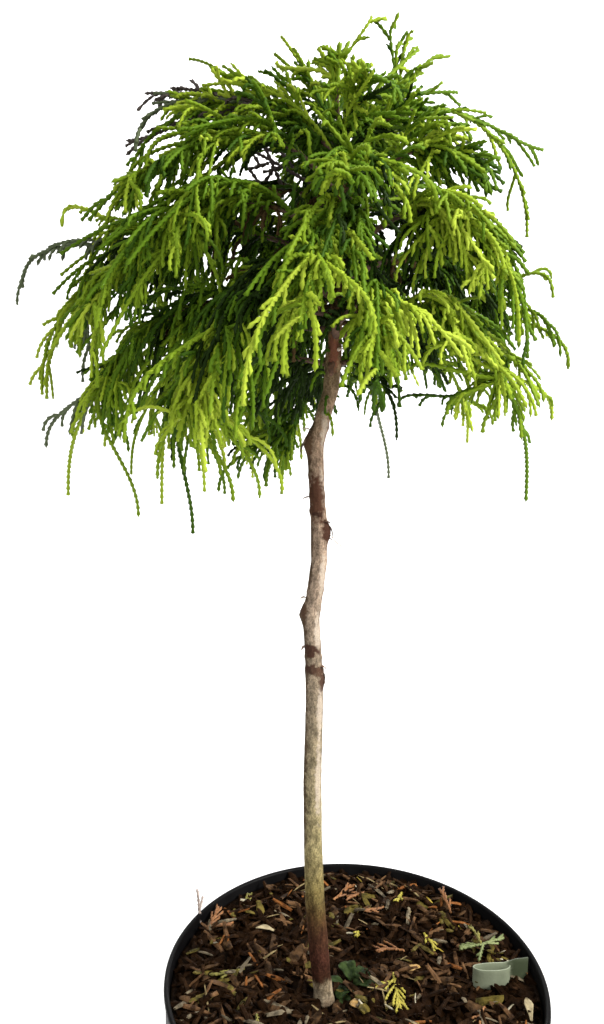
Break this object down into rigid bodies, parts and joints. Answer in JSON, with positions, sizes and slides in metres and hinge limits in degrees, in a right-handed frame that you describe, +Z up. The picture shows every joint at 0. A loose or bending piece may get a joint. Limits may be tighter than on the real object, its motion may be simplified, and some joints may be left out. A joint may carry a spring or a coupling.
{
  "type": "potted thuja standard",
  "caption": "Small weeping thuja grafted as a standard: a bare slender stem with a mop of hanging whipcord sprays, growing in a round black nursery pot.",
  "frame": {"origin": "centre of the flat underside of the pot", "axes": "+Z up along the pot's axis and the stem, -Y towards the front of the plant, +X to its right"},
  "size_m": [0.2623, 0.24, 0.6068],
  "materials": {
    "black_plastic": "satin moulded black",
    "mix": "moist bark mulch",
    "bark": "thin pale bark",
    "twig": "brown twig bark",
    "foliage": "green scale leaves",
    "label": "blank sage plastic"
  },
  "bodies": {
    "root": {"pot": "black_plastic", "substrate": "mix", "trunk": "bark", "loop_label": "label", "foliage_under_1": "foliage", "foliage_under_2": "foliage", "foliage_under_3": "foliage", "bough_skirt_1": "twig", "foliage_skirt_1": "foliage", "bough_skirt_2": "twig", "foliage_skirt_2": "foliage", "bough_skirt_3": "twig", "foliage_skirt_3": "foliage", "bough_skirt_4": "twig", "foliage_skirt_4": "foliage", "bough_skirt_5": "twig", "foliage_skirt_5": "foliage", "bough_skirt_6": "twig", "foliage_skirt_6": "foliage", "bough_skirt_7": "twig", "foliage_skirt_7": "foliage", "bough_skirt_8": "twig", "foliage_skirt_8": "foliage", "bough_shoulder_1": "twig", "foliage_shoulder_1": "foliage", "bough_shoulder_2": "twig", "foliage_shoulder_2": "foliage", "bough_shoulder_3": "twig", "foliage_shoulder_3": "foliage", "bough_shoulder_4": "twig", "foliage_shoulder_4": "foliage", "bough_shoulder_5": "twig", "foliage_shoulder_5": "foliage", "bough_shoulder_6": "twig", "foliage_shoulder_6": "foliage", "bough_shoulder_7": "twig", "foliage_shoulder_7": "foliage", "bough_upper_1": "twig", "foliage_upper_1": "foliage", "bough_upper_2": "twig", "foliage_upper_2": "foliage", "bough_upper_3": "twig", "foliage_upper_3": "foliage", "bough_upper_4": "twig", "foliage_upper_4": "foliage", "bough_upper_5": "twig", "foliage_upper_5": "foliage", "bough_upper_6": "twig", "foliage_upper_6": "foliage", "foliage_crest_1": "foliage", "foliage_crest_2": "foliage", "foliage_crest_3": "foliage", "foliage_crest_4": "foliage", "foliage_crest_5": "foliage", "foliage_top_1": "foliage", "foliage_top_2": "foliage", "foliage_top_3": "foliage"}
  },
  "joints": []
}
